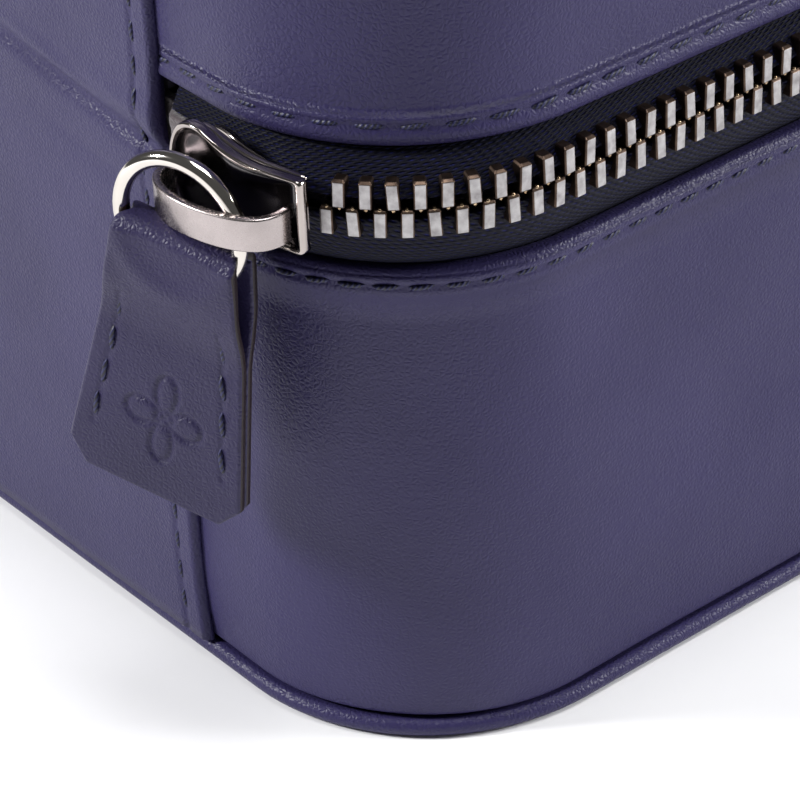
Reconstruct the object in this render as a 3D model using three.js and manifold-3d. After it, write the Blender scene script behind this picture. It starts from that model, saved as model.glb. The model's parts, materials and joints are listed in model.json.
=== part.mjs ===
// Zipped leather jewellery case: base, hinged lid, lift-out tray, zip and zip pull.
// Millimetres. +Z up, +Y towards the hinge at the back, -Y towards the front.
// The origin is the centre of the underside, on the surface that the case stands on.
import * as THREE from "three";
import { mergeVertices } from "three/addons/utils/BufferGeometryUtils.js";
import Module from "manifold-3d";

const wasm = await Module();
wasm.setup();

// Outside of the case
const WIDTH = 220;
const DEPTH = 150;
const SIDE = WIDTH / 2;
const BACK = DEPTH / 2;
const CORNER = 23.4;
const GAP = 0.3;
const ARC_STEPS = 4;

// Heights
const WELT_TOP = 2.0;
const BASE_RIM = 55.2;
const LID_RIM = 68.3;
const LID_SHOULDER = 87.6;
const LID_WELT_TOP = 89.6;
const LID_CROWN = 91.4;
const WELT_INNER = 0.9;
const PANEL_INSET = 1.2;
const STIFFENER_TOP = 46.5;
const FLOOR_BOARD_TOP = 4.2;
const FLOOR_PAD_LOW = 4.5;
const RIM_FOLD = 0.7;
const LID_STIFFENER_LOW = 76.3;
const LID_LINING_TOP = 85.0;
const HEADLINER_LOW = 83.2;
const LID_BOARD_DEEP = 2.3;
const MIRROR_LOW = 80.0;
const MIRROR_HIGH = 82.9;
const HINGE_LINING_INSET = 2;
const HINGE_LINING_TOP = 76;
const LOWER_TAPE_ROOT = -2.7;
const UPPER_TAPE_ROOT = -2.9;
const LEFT_RIGHT = [["left", -1], ["right", 1]];
const CHAIN = 63.6;
const HINGE = 64.0;

// Layers of a wall, from the outside in
const LEATHER = 1.6;
const BOARD = 2.0;
const SUEDE = 1.0;
const BOARD_FACE = LEATHER + GAP;
const SUEDE_FACE = BOARD_FACE + BOARD + GAP;
const INSIDE = SUEDE_FACE + SUEDE;
const WELT_PROUD = 0.8;

// Leather hinge panel over the back
const PANEL_HALF = 78;
const PANEL_PROUD = 1.5;
const HINGE_SLACK = 1.5;

// Zip: its chain stands proud of the walls and turns the corners on this radius
const ZIP_CORNER = 19.96;
const CHAIN_PROUD = 2.33;
const TOOTH_THICK = 1.4;
const TOOTH_TALL = 2.6;
const ROW_GAP = 2.2;
const TAPE = 0.8;
const ZIP_END_X = SIDE - 30.5;
const UPPER_ROW_START = 142;

// Slider, on the zip's arc at the back left corner
const SLIDER_ANGLE = 100;
const SLIDER_REAR = 7.5;
const SLIDER_NOSE = 9.3;
const SLIDER_HALF = 3.85;
const SHOULDER_HALF = 5.7;
const SHOULDER_AT = -5.1;
const PLATE_OUT = 24.8;
const PLATE_IN = 24.0;
const BACK_PLATE_OUT = 21.0;
const BACK_PLATE_IN = 20.25;
const BACK_PLATE_HALF = 3.3;
const BRIDGE_WIDE = 3.2;
const BRIDGE_THICK = 1.0;
const BRIDGE_RISE = 3.6;

// Pull ring and leather pull tab
const RING_RADIUS = 6.6;
const WIRE_RADIUS = 0.83;
const RING_TURN = 19;
const RING_SIDE_X = 12.9;
const RING_SIDE_Y = 6.05;
const RING_Z = 61.2;
const TAB_SWAY = -7.4;
const TAB_TOP = -2.4;
const TAB_BOTTOM = -31.0;
const TAB_TOP_HALF = 6.7;
const TAB_BOTTOM_HALF = 9.4;
const TAB_CLIP = 2.2;
const TAB_LEATHER = 1.0;
const TAB_SLOT_HALF = 1.08;
const TAB_SLOT_END = -8.4;
const TAB_BEND = -10.5;
const TAB_LEAN = 11;
const FOLD_HALF = 4.1;
const FOLD_UNDER = -3.4;

// Inside the base
const FLOOR_TOP = 6.2;
const DIVIDER_TOP = 31.2;
const DIVIDER = 3;
const LONG_DIVIDER_Y = 10;
const CROSS_DIVIDER_X = 35;
const LEDGE_DEEP = 4;
const LEDGE_TALL = 6;
const LEDGE_LONG = 90;

// Tray
const TRAY_CLEAR = 0.5;
const TRAY_BOTTOM = DIVIDER_TOP + GAP;
const TRAY_TOP = 53.4;
const TRAY_WALL = 2;
const TRAY_FLOOR = 2;
const TRAY_PAD = 1.2;
const RING_BAY_X = -17;
const ROLL_COUNT = 7;
const ROLL_RADIUS = 5.5;
const RIBBON_LONG = 18;
const RIBBON_TALL = 5;
const RIBBON_THICK = 0.8;

// Mirror under the lid
const MIRROR_HALF_X = 78;
const MIRROR_HALF_Y = 46;
const MIRROR_BORDER = 5;

const rad = THREE.MathUtils.degToRad;

const leather = paint(0x2b2a4c, 0.45, 0);
const darkLeather = paint(0x22213d, 0.5, 0);
const suede = paint(0x8d88a6, 0.95, 0);
const board = paint(0x6f6a66, 0.9, 0);
const cloth = paint(0x1a1a38, 0.85, 0);
const antique = paint(0x8f8a88, 0.35, 1);
const nickel = paint(0x9a918f, 0.18, 1);
const silvered = paint(0xdfe4e8, 0.05, 1);

const jewelleryCase = new THREE.Group();

function paint(color, roughness, metalness) {
  return new THREE.MeshStandardMaterial({ color, roughness, metalness });
}

function add(name, geometry, material) {
  const mesh = new THREE.Mesh(geometry, material);
  mesh.name = name;
  jewelleryCase.add(mesh);
  return mesh;
}

// A rectangle with round corners, centred on the origin
function roundedOutline(halfX, halfY, radius, Kind = THREE.Shape) {
  const outline = new Kind();
  outline.moveTo(-halfX + radius, -halfY);
  outline.absarc(halfX - radius, -halfY + radius, radius, -Math.PI / 2, 0);
  outline.absarc(halfX - radius, halfY - radius, radius, 0, Math.PI / 2);
  outline.absarc(-halfX + radius, halfY - radius, radius, Math.PI / 2, Math.PI);
  outline.absarc(-halfX + radius, -halfY + radius, radius, Math.PI, 1.5 * Math.PI);
  outline.closePath();
  return outline;
}

// The case's own outline, drawn in by an inset
function caseOutline(inset, Kind) {
  return roundedOutline(SIDE - inset, BACK - inset, CORNER - inset, Kind);
}

function rise(outline, bottom, top, bevel = 0) {
  const geometry = new THREE.ExtrudeGeometry(outline, {
    depth: top - bottom - 2 * bevel,
    curveSegments: ARC_STEPS,
    bevelEnabled: bevel > 0,
    bevelThickness: bevel,
    bevelSize: bevel,
    bevelOffset: -bevel,
    bevelSegments: 1,
  });
  geometry.translate(0, 0, bottom + bevel);
  return geometry;
}

function slab(inset, bottom, top, bevel) {
  return rise(caseOutline(inset), bottom, top, bevel);
}

// A band that follows the walls, between two insets
function band(outer, inner, bottom, top, bevel) {
  const outline = caseOutline(outer);
  outline.holes.push(caseOutline(inner, THREE.Path));
  return rise(outline, bottom, top, bevel);
}

function block(lowX, highX, lowY, highY, lowZ, highZ) {
  const geometry = new THREE.BoxGeometry(highX - lowX, highY - lowY, highZ - lowZ);
  geometry.translate((lowX + highX) / 2, (lowY + highY) / 2, (lowZ + highZ) / 2);
  return geometry;
}

function solid(geometry) {
  const bare = geometry.clone();
  bare.deleteAttribute("normal");
  bare.deleteAttribute("uv");
  const merged = mergeVertices(bare, 1e-4);
  const vertProperties = new Float32Array(merged.attributes.position.array);
  const triVerts = new Uint32Array(merged.index.array);
  return new wasm.Manifold(new wasm.Mesh({ numProp: 3, vertProperties, triVerts }));
}

function meshOf(body) {
  const mesh = body.getMesh();
  const geometry = new THREE.BufferGeometry();
  geometry.setAttribute("position", new THREE.BufferAttribute(mesh.vertProperties, 3));
  geometry.setIndex(new THREE.BufferAttribute(mesh.triVerts, 1));
  geometry.computeVertexNormals();
  return geometry;
}

// The zip's route: from the back left, round the front, to the back right
class ZipRoute extends THREE.Curve {
  constructor(startAngle) {
    super();
    this.legs = ZipRoute.legsFrom(startAngle);
    this.length = this.legs.reduce((sum, leg) => sum + leg.length, 0);
  }

  // A route that starts part way round the corner ends at the same place on the other side
  static legsFrom(startAngle) {
    const x = SIDE - ZIP_CORNER;
    const y = BACK - ZIP_CORNER;
    const turn = (degrees) => rad(degrees) * ZIP_CORNER;
    const corner = turn(180 - startAngle);
    const legs = [
      { from: [-x, y], start: startAngle, length: corner },
      { from: [-SIDE, y], along: [0, -1], length: 2 * y },
      { from: [-x, -y], start: 180, length: turn(90) },
      { from: [-x, -BACK], along: [1, 0], length: 2 * x },
      { from: [x, -y], start: 270, length: turn(90) },
      { from: [SIDE, -y], along: [0, 1], length: 2 * y },
      { from: [x, y], start: 0, length: corner },
    ];
    if (startAngle === 90) {
      const straight = x - ZIP_END_X;
      legs.unshift({ from: [-ZIP_END_X, BACK], along: [-1, 0], length: straight });
      legs.push({ from: [x, BACK], along: [-1, 0], length: straight });
    }
    return legs;
  }

  getPoint(t, target = new THREE.Vector3()) {
    let rest = Math.min(Math.max(t, 0), 1) * this.length;
    const last = this.legs.length - 1;
    let index = 0;
    while (index < last && rest > this.legs[index].length) {
      rest -= this.legs[index].length;
      index += 1;
    }
    const leg = this.legs[index];
    if (leg.along) {
      return target.set(leg.from[0] + leg.along[0] * rest, leg.from[1] + leg.along[1] * rest, 0);
    }
    const angle = rad(leg.start) + rest / ZIP_CORNER;
    const x = leg.from[0] + ZIP_CORNER * Math.cos(angle);
    return target.set(x, leg.from[1] + ZIP_CORNER * Math.sin(angle), 0);
  }
}

// Sweep a section, given as [distance outwards, height] points, along the zip's route
function sweep(section, startAngle) {
  const outline = new THREE.Shape(section.map(([out, z]) => new THREE.Vector2(-z, -out)));
  return new THREE.ExtrudeGeometry(outline, {
    steps: 150,
    bevelEnabled: false,
    extrudePath: new ZipRoute(startAngle),
  });
}

function toothRow(name, low, startAngle) {
  const inner = CHAIN_PROUD - TOOTH_THICK / 2;
  const outer = CHAIN_PROUD + TOOTH_THICK / 2;
  const high = low + TOOTH_TALL;
  add(name, sweep([[inner, low], [outer, low], [outer, high], [inner, high]], startAngle), antique);
}

function makeBaseShell() {
  add("base_panel", slab(PANEL_INSET, 0, WELT_TOP - 0.2, 0.3), darkLeather);
  add("base_welt", band(-WELT_PROUD, WELT_INNER, 0.05, WELT_TOP, 0.5), leather);
  add("base_shell", band(0, LEATHER, WELT_TOP + GAP, BASE_RIM, 0.4), leather);
  add("base_stiffener", band(BOARD_FACE, BOARD_FACE + BOARD, WELT_TOP + GAP, STIFFENER_TOP), board);
  add("base_lining", band(SUEDE_FACE, INSIDE, WELT_TOP + GAP, BASE_RIM - RIM_FOLD, 0.25), suede);
  add("base_floor_board", slab(INSIDE + GAP, WELT_TOP + GAP, FLOOR_BOARD_TOP), board);
  add("base_floor_pad", slab(INSIDE + GAP, FLOOR_PAD_LOW, FLOOR_TOP, 0.3), suede);
}

function makeBaseInside() {
  const halfX = SIDE - INSIDE - GAP;
  const halfY = BACK - INSIDE - GAP;
  const low = FLOOR_TOP + GAP;
  const half = DIVIDER / 2;
  const y = LONG_DIVIDER_Y;
  add("divider_long", block(-halfX, halfX, y - half, y + half, low, DIVIDER_TOP), suede);
  for (const [name, side] of LEFT_RIGHT) {
    const x = side * CROSS_DIVIDER_X;
    add(`divider_cross_${name}`, block(x - half, x + half, y + half + GAP, halfY, low, DIVIDER_TOP), suede);
  }
  const nearY = y - half - GAP;
  for (const [name, side] of LEFT_RIGHT) {
    const edges = [side * halfX, side * (halfX - LEDGE_DEEP)].sort((a, b) => a - b);
    const farY = nearY - LEDGE_LONG / 2;
    add(`tray_ledge_${name}`, block(...edges, farY, nearY, DIVIDER_TOP - LEDGE_TALL, DIVIDER_TOP), suede);
  }
}

function makeHingePanel() {
  const near = BACK + GAP;
  const far = BACK + PANEL_PROUD;
  const low = HINGE - HINGE_SLACK;
  const high = HINGE + HINGE_SLACK;
  add("hinge_panel_lower", block(-PANEL_HALF, PANEL_HALF, near, far, WELT_TOP + GAP, low), leather);
  add("hinge_panel_upper", block(-PANEL_HALF, PANEL_HALF, near, far, high, LID_SHOULDER), leather);
  const half = PANEL_HALF - HINGE_LINING_INSET;
  const inner = BACK - BOARD_FACE - TAPE;
  const outer = BACK - BOARD_FACE;
  add("hinge_lining_lower", block(-half, half, inner, outer, STIFFENER_TOP + GAP, low), suede);
  add("hinge_lining_upper", block(-half, half, inner, outer, high, HINGE_LINING_TOP), suede);
}

function makeZip() {
  const inner = CHAIN_PROUD - TAPE;
  const outer = CHAIN_PROUD;
  const rowTop = CHAIN - ROW_GAP / 2;
  const lowTop = rowTop - TOOTH_TALL - GAP;
  const root = BASE_RIM + GAP;
  const lowTape = [[LOWER_TAPE_ROOT, root], [LOWER_TAPE_ROOT + 1, root], [outer, lowTop], [inner, lowTop]];
  add("zip_tape_lower", sweep(lowTape, 90), cloth);
  toothRow("zip_teeth_lower", rowTop - TOOTH_TALL, 90);
  const upperRow = CHAIN + ROW_GAP / 2;
  const tapeLow = upperRow + TOOTH_TALL + 0.2;
  const tapeHigh = LID_RIM - 0.25;
  const near = UPPER_TAPE_ROOT;
  const highTape = [[near, tapeLow], [outer, tapeLow], [outer, tapeHigh], [near, tapeHigh]];
  add("zip_tape_upper", sweep(highTape, UPPER_ROW_START), cloth);
  toothRow("zip_teeth_upper", upperRow, UPPER_ROW_START);
}

function makeLid() {
  add("lid_shell", band(0, LEATHER, LID_RIM, LID_SHOULDER, 0.4), leather);
  add("lid_welt", band(-WELT_PROUD, WELT_INNER, LID_SHOULDER + GAP, LID_WELT_TOP, 0.5), leather);
  add("lid_panel", slab(PANEL_INSET, LID_SHOULDER + GAP, LID_CROWN, 1.2), leather);
  add("lid_stiffener", band(BOARD_FACE, BOARD_FACE + BOARD, LID_STIFFENER_LOW, LID_SHOULDER - GAP), board);
  add("lid_board", slab(SUEDE_FACE, LID_SHOULDER - LID_BOARD_DEEP, LID_SHOULDER - GAP), board);
  add("lid_lining", band(SUEDE_FACE, INSIDE, LID_RIM + RIM_FOLD, LID_LINING_TOP, 0.25), suede);
  add("lid_headliner", slab(INSIDE + GAP, HEADLINER_LOW, LID_LINING_TOP, 0.3), suede);
}

function makeMirror() {
  const frame = roundedOutline(MIRROR_HALF_X, MIRROR_HALF_Y, 10);
  const edge = MIRROR_BORDER;
  frame.holes.push(roundedOutline(MIRROR_HALF_X - edge, MIRROR_HALF_Y - edge, 6, THREE.Path));
  add("mirror_frame", rise(frame, MIRROR_LOW, MIRROR_HIGH, 0.4), darkLeather);
  const glassEdge = edge + GAP;
  const glass = roundedOutline(MIRROR_HALF_X - glassEdge, MIRROR_HALF_Y - glassEdge, 5.7);
  add("mirror_glass", rise(glass, MIRROR_LOW + 0.9, MIRROR_HIGH), silvered);
}

function makeTray() {
  const inset = INSIDE + TRAY_CLEAR;
  const wallIn = inset + TRAY_WALL;
  const floorTop = TRAY_BOTTOM + TRAY_FLOOR;
  const outside = solid(slab(inset, TRAY_BOTTOM, TRAY_TOP, 0.3));
  const hollow = solid(slab(wallIn, floorTop, TRAY_TOP + 5));
  add("tray_shell", meshOf(outside.subtract(hollow)), suede);
  const padTop = floorTop + GAP + TRAY_PAD;
  add("tray_floor_pad", slab(wallIn + GAP, floorTop + GAP, padTop, 0.2), suede);
  makeTrayDividers(wallIn + GAP, padTop + GAP);
  makeRingRolls(wallIn + GAP, padTop + GAP);
  makeRibbons(wallIn + GAP);
}

function makeTrayDividers(inset, low) {
  const halfX = SIDE - inset;
  const halfY = BACK - inset;
  const high = TRAY_TOP - 1;
  const half = DIVIDER / 2;
  const bay = RING_BAY_X;
  const crossX = (bay + halfX) / 2;
  const start = bay + half + GAP;
  add("tray_divider_rings", block(bay - half, bay + half, -halfY, halfY, low, high), suede);
  const longEnd = halfX - RIBBON_THICK - GAP;
  add("tray_divider_long", block(start, longEnd, -half, half, low, high), suede);
  const backLow = half + GAP;
  add("tray_divider_cross_back", block(crossX - half, crossX + half, backLow, halfY, low, high), suede);
  add("tray_divider_cross_front", block(crossX - half, crossX + half, -halfY, -backLow, low, high), suede);
}

// Padded rolls that hold rings between them
function makeRingRolls(inset, low) {
  const bayEnd = RING_BAY_X - DIVIDER / 2 - GAP;
  const bayStart = -(SIDE - inset);
  const pitch = (bayEnd - bayStart) / ROLL_COUNT;
  const cornerRoom = 10;
  for (let i = 0; i < ROLL_COUNT; i += 1) {
    const nearWall = i === 0 ? cornerRoom : 0;
    const length = 2 * (BACK - inset - 2 - nearWall);
    const roll = new THREE.CylinderGeometry(ROLL_RADIUS, ROLL_RADIUS, length, 20);
    roll.translate(bayStart + pitch * (i + 0.5), 0, low + ROLL_RADIUS);
    add(`ring_roll_${i + 1}`, roll, suede);
  }
}

function makeRibbons(inset) {
  const halfX = SIDE - inset;
  for (const [name, side] of LEFT_RIGHT) {
    const edges = [side * halfX, side * (halfX - RIBBON_THICK)].sort((a, b) => a - b);
    const half = RIBBON_LONG / 2;
    add(`tray_ribbon_${name}`, block(...edges, -half, half, TRAY_TOP - 8, TRAY_TOP + RIBBON_TALL), cloth);
  }
}

// Directions at the slider: along the zip, up, and out from the case
const SLIDER_OUT = new THREE.Vector3(Math.cos(rad(SLIDER_ANGLE)), Math.sin(rad(SLIDER_ANGLE)), 0);
const UP = new THREE.Vector3(0, 0, 1);
const SLIDER_ALONG = new THREE.Vector3().crossVectors(UP, SLIDER_OUT);
const ZIP_CENTRE = new THREE.Vector3(-(SIDE - ZIP_CORNER), BACK - ZIP_CORNER, CHAIN);

// Move a shape drawn in x and y, and raised in z, to a place with its own three directions
function place(geometry, along, upward, outward, origin) {
  const matrix = new THREE.Matrix4().makeBasis(along, upward, outward);
  matrix.setPosition(origin);
  return geometry.applyMatrix4(matrix);
}

function arcPlate(inner, outer, half) {
  const from = rad(SLIDER_ANGLE) - SLIDER_NOSE / inner - 0.05;
  const to = rad(SLIDER_ANGLE) + SLIDER_REAR / inner + 0.05;
  const plan = new THREE.Shape();
  plan.absarc(0, 0, outer, from, to, false);
  plan.absarc(0, 0, inner, to, from, true);
  plan.closePath();
  const geometry = new THREE.ExtrudeGeometry(plan, {
    depth: 2 * half,
    curveSegments: 12,
    bevelEnabled: false,
  });
  geometry.translate(ZIP_CENTRE.x, ZIP_CENTRE.y, CHAIN - half);
  return solid(geometry);
}

function sliderOutline() {
  const outline = new THREE.Shape();
  outline.moveTo(SLIDER_REAR, -SLIDER_HALF);
  outline.lineTo(SLIDER_REAR, SLIDER_HALF);
  outline.lineTo(0, SLIDER_HALF);
  outline.quadraticCurveTo(-2.6, SLIDER_HALF + 0.2, SHOULDER_AT, SHOULDER_HALF);
  outline.quadraticCurveTo(-SLIDER_NOSE, SHOULDER_HALF - 0.6, -SLIDER_NOSE, 0);
  outline.quadraticCurveTo(-SLIDER_NOSE, -SHOULDER_HALF + 0.6, SHOULDER_AT, -SHOULDER_HALF);
  outline.quadraticCurveTo(-2.6, -SLIDER_HALF - 0.2, 0, -SLIDER_HALF);
  outline.closePath();
  const geometry = new THREE.ExtrudeGeometry(outline, { depth: 10, curveSegments: 6, bevelEnabled: false });
  const origin = ZIP_CENTRE.clone().addScaledVector(SLIDER_OUT, 17);
  return solid(place(geometry, SLIDER_ALONG, UP, SLIDER_OUT, origin));
}

function makeSlider() {
  const web = new THREE.BoxGeometry(3.2, ROW_GAP - 2 * GAP, PLATE_OUT - BACK_PLATE_IN - 0.8);
  web.translate(-SLIDER_NOSE + 4.2, 0, (PLATE_OUT + BACK_PLATE_IN) / 2);
  place(web, SLIDER_ALONG, UP, SLIDER_OUT, ZIP_CENTRE);
  const front = arcPlate(PLATE_IN, PLATE_OUT, SHOULDER_HALF + 1);
  const rear = arcPlate(BACK_PLATE_IN, BACK_PLATE_OUT, BACK_PLATE_HALF);
  const body = front.add(rear).intersect(sliderOutline()).add(solid(web));
  add("slider_body", meshOf(body), nickel);
}

// The strap over the slider's face that the pull ring hangs on
function makeBridge() {
  const foot = PLATE_OUT + GAP + 0.9;
  const rearFoot = SLIDER_REAR - 0.4;
  const noseFoot = -SLIDER_NOSE + 0.8;
  const top = foot + BRIDGE_RISE;
  const strap = new THREE.Shape();
  strap.moveTo(rearFoot, foot - 0.6);
  strap.lineTo(rearFoot, foot + 1);
  strap.bezierCurveTo(rearFoot, top - 1, rearFoot - 2.5, top, rearFoot - 5, top);
  strap.lineTo(noseFoot + 5, top);
  strap.bezierCurveTo(noseFoot + 2.5, top, noseFoot, top - 1, noseFoot, foot + 1);
  strap.lineTo(noseFoot, foot);
  strap.lineTo(noseFoot + BRIDGE_THICK, foot);
  strap.lineTo(noseFoot + BRIDGE_THICK, foot + 1);
  const under = top - BRIDGE_THICK;
  strap.bezierCurveTo(noseFoot + 1.2, under - 0.8, noseFoot + 3, under, noseFoot + 5, under);
  strap.lineTo(rearFoot - 5, under);
  strap.bezierCurveTo(rearFoot - 3, under, rearFoot - 1.2, under - 0.8, rearFoot - 1, foot + 1);
  strap.lineTo(rearFoot - 1, foot - 0.6);
  strap.closePath();
  const geometry = new THREE.ExtrudeGeometry(strap, {
    depth: BRIDGE_WIDE,
    curveSegments: 6,
    bevelEnabled: false,
  });
  const origin = ZIP_CENTRE.clone().setZ(RING_Z + 0.3 + BRIDGE_WIDE / 2);
  const down = UP.clone().negate();
  add("slider_bridge", place(geometry, SLIDER_ALONG, SLIDER_OUT, down, origin), nickel);
}

// The ring and tab lie in one upright plane that opens away from the wall
const RING_OUT = new THREE.Vector3(-Math.sin(rad(RING_TURN)), Math.cos(rad(RING_TURN)), 0);
const RING_ACROSS = new THREE.Vector3().crossVectors(UP, RING_OUT);
const RING_SIDE = new THREE.Vector3(-SIDE + RING_SIDE_X, BACK + RING_SIDE_Y, RING_Z);
const RING_CENTRE = RING_SIDE.clone().addScaledVector(RING_ACROSS, -RING_RADIUS);

function makeRing() {
  const profile = [];
  const sides = 12;
  for (let i = 0; i <= sides; i += 1) {
    const angle = (-2 * Math.PI * i) / sides;
    const reach = RING_RADIUS + WIRE_RADIUS * Math.cos(angle);
    profile.push(new THREE.Vector2(reach, -WIRE_RADIUS * Math.sin(angle)));
  }
  const ring = new THREE.LatheGeometry(profile, 48);
  const mesh = add("pull_ring", ring, nickel);
  mesh.quaternion.setFromUnitVectors(new THREE.Vector3(0, 1, 0), RING_OUT);
  mesh.position.copy(RING_CENTRE);
}

// Directions of the tab, turned in the ring's plane by its rest sway
const TAB_ACROSS = RING_ACROSS.clone().applyAxisAngle(RING_OUT, rad(TAB_SWAY));
const TAB_UP = UP.clone().applyAxisAngle(RING_OUT, rad(TAB_SWAY));

function prism(points, depth) {
  const outline = new THREE.Shape(points.map(([x, y]) => new THREE.Vector2(x, y)));
  const geometry = new THREE.ExtrudeGeometry(outline, { depth, bevelEnabled: false });
  geometry.translate(0, 0, -depth / 2);
  return geometry;
}

function tabFace() {
  const points = [
    [-TAB_TOP_HALF, TAB_TOP],
    [-TAB_BOTTOM_HALF, TAB_BOTTOM + TAB_CLIP],
    [-TAB_BOTTOM_HALF + TAB_CLIP, TAB_BOTTOM],
    [TAB_BOTTOM_HALF - TAB_CLIP, TAB_BOTTOM],
    [TAB_BOTTOM_HALF, TAB_BOTTOM + TAB_CLIP],
    [TAB_TOP_HALF, TAB_TOP],
  ];
  return solid(place(prism(points, 40), TAB_ACROSS, TAB_UP, RING_OUT, RING_CENTRE));
}

// Side view of the folded leather: thick round the ring, then two layers leaning outwards
function tabFold() {
  const thick = TAB_SLOT_HALF + TAB_LEATHER;
  const thin = TAB_LEATHER + 0.2;
  const swing = (TAB_BEND - TAB_BOTTOM) * Math.tan(rad(TAB_LEAN));
  const points = [
    [-thick, TAB_TOP - 0.6],
    [-thick, TAB_SLOT_END],
    [-thin, TAB_BEND],
    [swing - thin, TAB_BOTTOM - 1],
    [swing + thin, TAB_BOTTOM - 1],
    [thin, TAB_BEND],
    [thick, TAB_SLOT_END],
    [thick, TAB_TOP - 0.6],
    [thick - 0.6, TAB_TOP],
    [-thick + 0.6, TAB_TOP],
  ];
  const left = TAB_ACROSS.clone().negate();
  return solid(place(prism(points, 40), RING_OUT, TAB_UP, left, RING_CENTRE));
}

function tabCut(lowAcross, highAcross, low, high) {
  const geometry = block(lowAcross, highAcross, low, high, -TAB_SLOT_HALF, TAB_SLOT_HALF);
  return solid(place(geometry, TAB_ACROSS, TAB_UP, RING_OUT, RING_CENTRE));
}

function makeTab() {
  const slot = tabCut(-20, 20, TAB_SLOT_END, FOLD_UNDER);
  const leftCut = tabCut(-20, -FOLD_HALF, FOLD_UNDER - 0.5, 1);
  const rightCut = tabCut(FOLD_HALF, 20, FOLD_UNDER - 0.5, 1);
  const tab = tabFold().intersect(tabFace()).subtract(slot).subtract(leftCut).subtract(rightCut);
  add("pull_tab", meshOf(tab), leather);
}

makeBaseShell();
makeBaseInside();
makeHingePanel();
makeZip();
makeLid();
makeMirror();
makeTray();
makeSlider();
makeBridge();
makeRing();
makeTab();

export default jewelleryCase;
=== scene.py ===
import json
import math
import bpy
import numpy as np
from mathutils import Matrix, Vector, noise


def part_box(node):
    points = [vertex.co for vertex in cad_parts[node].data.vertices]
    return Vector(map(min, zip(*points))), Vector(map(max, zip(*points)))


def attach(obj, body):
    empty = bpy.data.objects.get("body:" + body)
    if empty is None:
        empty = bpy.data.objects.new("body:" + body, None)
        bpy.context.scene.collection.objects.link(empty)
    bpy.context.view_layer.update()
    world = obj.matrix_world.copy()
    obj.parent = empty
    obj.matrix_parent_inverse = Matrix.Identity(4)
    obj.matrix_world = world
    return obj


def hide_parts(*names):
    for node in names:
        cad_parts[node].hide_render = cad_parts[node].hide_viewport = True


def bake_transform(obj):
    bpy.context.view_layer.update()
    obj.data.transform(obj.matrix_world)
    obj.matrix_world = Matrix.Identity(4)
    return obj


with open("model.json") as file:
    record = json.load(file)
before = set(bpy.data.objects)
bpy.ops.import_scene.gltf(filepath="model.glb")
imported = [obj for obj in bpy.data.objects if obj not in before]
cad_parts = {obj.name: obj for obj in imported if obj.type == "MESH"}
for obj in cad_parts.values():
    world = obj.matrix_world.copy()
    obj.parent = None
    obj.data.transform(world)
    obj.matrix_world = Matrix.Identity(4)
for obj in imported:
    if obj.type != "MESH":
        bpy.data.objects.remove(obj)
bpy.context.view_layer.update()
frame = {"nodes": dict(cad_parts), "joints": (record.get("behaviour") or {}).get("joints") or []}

MM = 0.001


def span(node):
    """Lowest and highest corner of a CAD node, in millimetres."""
    low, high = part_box(node)
    return np.array(low) / MM, np.array(high) / MM


def joint(name):
    return next(item for item in frame["joints"] if item["name"] == name)


def joint_place(name):
    return np.array(joint(name)["pos_m"]) / MM


# Sizes read from the frame
SHELL_LOW, SHELL_HIGH = span("base_shell")
SIDE, BACK, BASE_RIM = SHELL_HIGH
LID_LOW, LID_HIGH = span("lid_shell")
LID_RIM = LID_LOW[2]
LID_SHOULDER = LID_HIGH[2]
PANEL_HALF = span("hinge_panel_lower")[1][0]
HINGE = (span("hinge_panel_lower")[1][2] + span("hinge_panel_upper")[0][2]) / 2
ZIP_CENTRE = joint_place("slider_travel")
CHAIN = ZIP_CENTRE[2]
ZIP_CORNER = SIDE + ZIP_CENTRE[0]

# Sizes of the leather work and the zip
CORNER = 23.4
LEATHER = 1.6
BASE_SEAM = 1.95
LID_SEAM = 2.05
PANEL_SEAM = 3.0
STITCH_BASE = 3.4
STITCH_LID = 4.2
STITCH_PANEL = 3.6
STITCH_FILL = 0.80
SLAB_SHOULDER = 20.0
CHAIN_PROUD = 2.33
ZIP_END = PANEL_HALF + 1.5
TOOTH_PITCH = 2.54
TOOTH_DEPTH = 0.75
TOOTH_TIP = 1.45
NIB_DEPTH = 0.35
NIB_RISE = 1.42
# One tooth stands 10.5 mm into the corner's stretch; seven pitches are counted back from it
FIRST_TOOTH = SIDE - ZIP_CORNER - ZIP_END + 10.5 - 7 * TOOTH_PITCH
# Teeth nearer the back wall than this are left out, so that the rows clear each other as the lid opens
LAST_TOOTH = 74.4


# ---------------------------------------------------------------- materials

def new_material(name):
    material = bpy.data.materials.new(name)
    material.use_nodes = True
    tree = material.node_tree
    shader = tree.nodes["Principled BSDF"]
    return material, tree, shader


def node(tree, kind, **settings):
    item = tree.nodes.new(kind)
    for key, value in settings.items():
        if key in item.inputs:
            item.inputs[key].default_value = value
        else:
            setattr(item, key, value)
    return item


def ramp(tree, source, stops):
    item = tree.nodes.new("ShaderNodeValToRGB")
    elements = item.color_ramp.elements
    while len(elements) < len(stops):
        elements.new(0.5)
    for element, (place, color) in zip(elements, stops):
        element.position = place
        element.color = (*color, 1)
    tree.links.new(source, item.inputs["Fac"])
    return item.outputs["Color"]


def bump(tree, height, strength, distance, below=None):
    item = node(tree, "ShaderNodeBump", Strength=strength, Distance=distance)
    tree.links.new(height, item.inputs["Height"])
    if below:
        tree.links.new(below, item.inputs["Normal"])
    return item.outputs["Normal"]


def position(tree):
    return tree.nodes.new("ShaderNodeTexCoord").outputs["Object"]


def noise_of(tree, where, scale, detail=3.0, rough=0.5):
    item = node(tree, "ShaderNodeTexNoise", Scale=scale, Detail=detail, Roughness=rough)
    tree.links.new(where, item.inputs["Vector"])
    return item.outputs["Fac"]


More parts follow.
